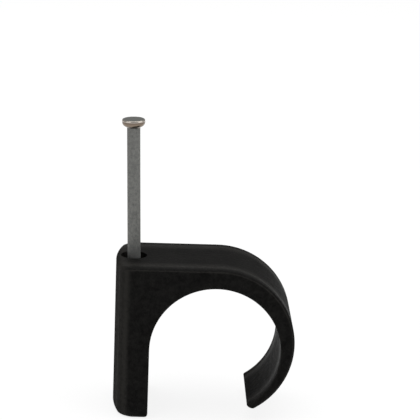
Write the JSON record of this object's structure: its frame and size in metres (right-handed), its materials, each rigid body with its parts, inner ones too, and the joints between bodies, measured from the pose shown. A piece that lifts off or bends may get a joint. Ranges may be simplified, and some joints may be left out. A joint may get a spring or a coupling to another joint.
{
  "type": "nail in cable clip",
  "caption": "One-piece plastic hook that closes round a cable on a wall, with a round-backed leg and a steel nail standing in a recessed hole, ready to be driven.",
  "frame": {"origin": "on the wall, in the middle of the leg's foot", "axes": "+Z along the leg, away from the wall; +X from the leg towards the hook; +Y along the cable"},
  "size_m": [0.0344, 0.0188, 0.0565],
  "materials": {
    "clip_plastic": "satin moulded",
    "nail_steel": "dull, worn bright on the rim of the head"
  },
  "bodies": {
    "root": {"clip": "clip_plastic", "nail": "nail_steel"}
  },
  "joints": []
}
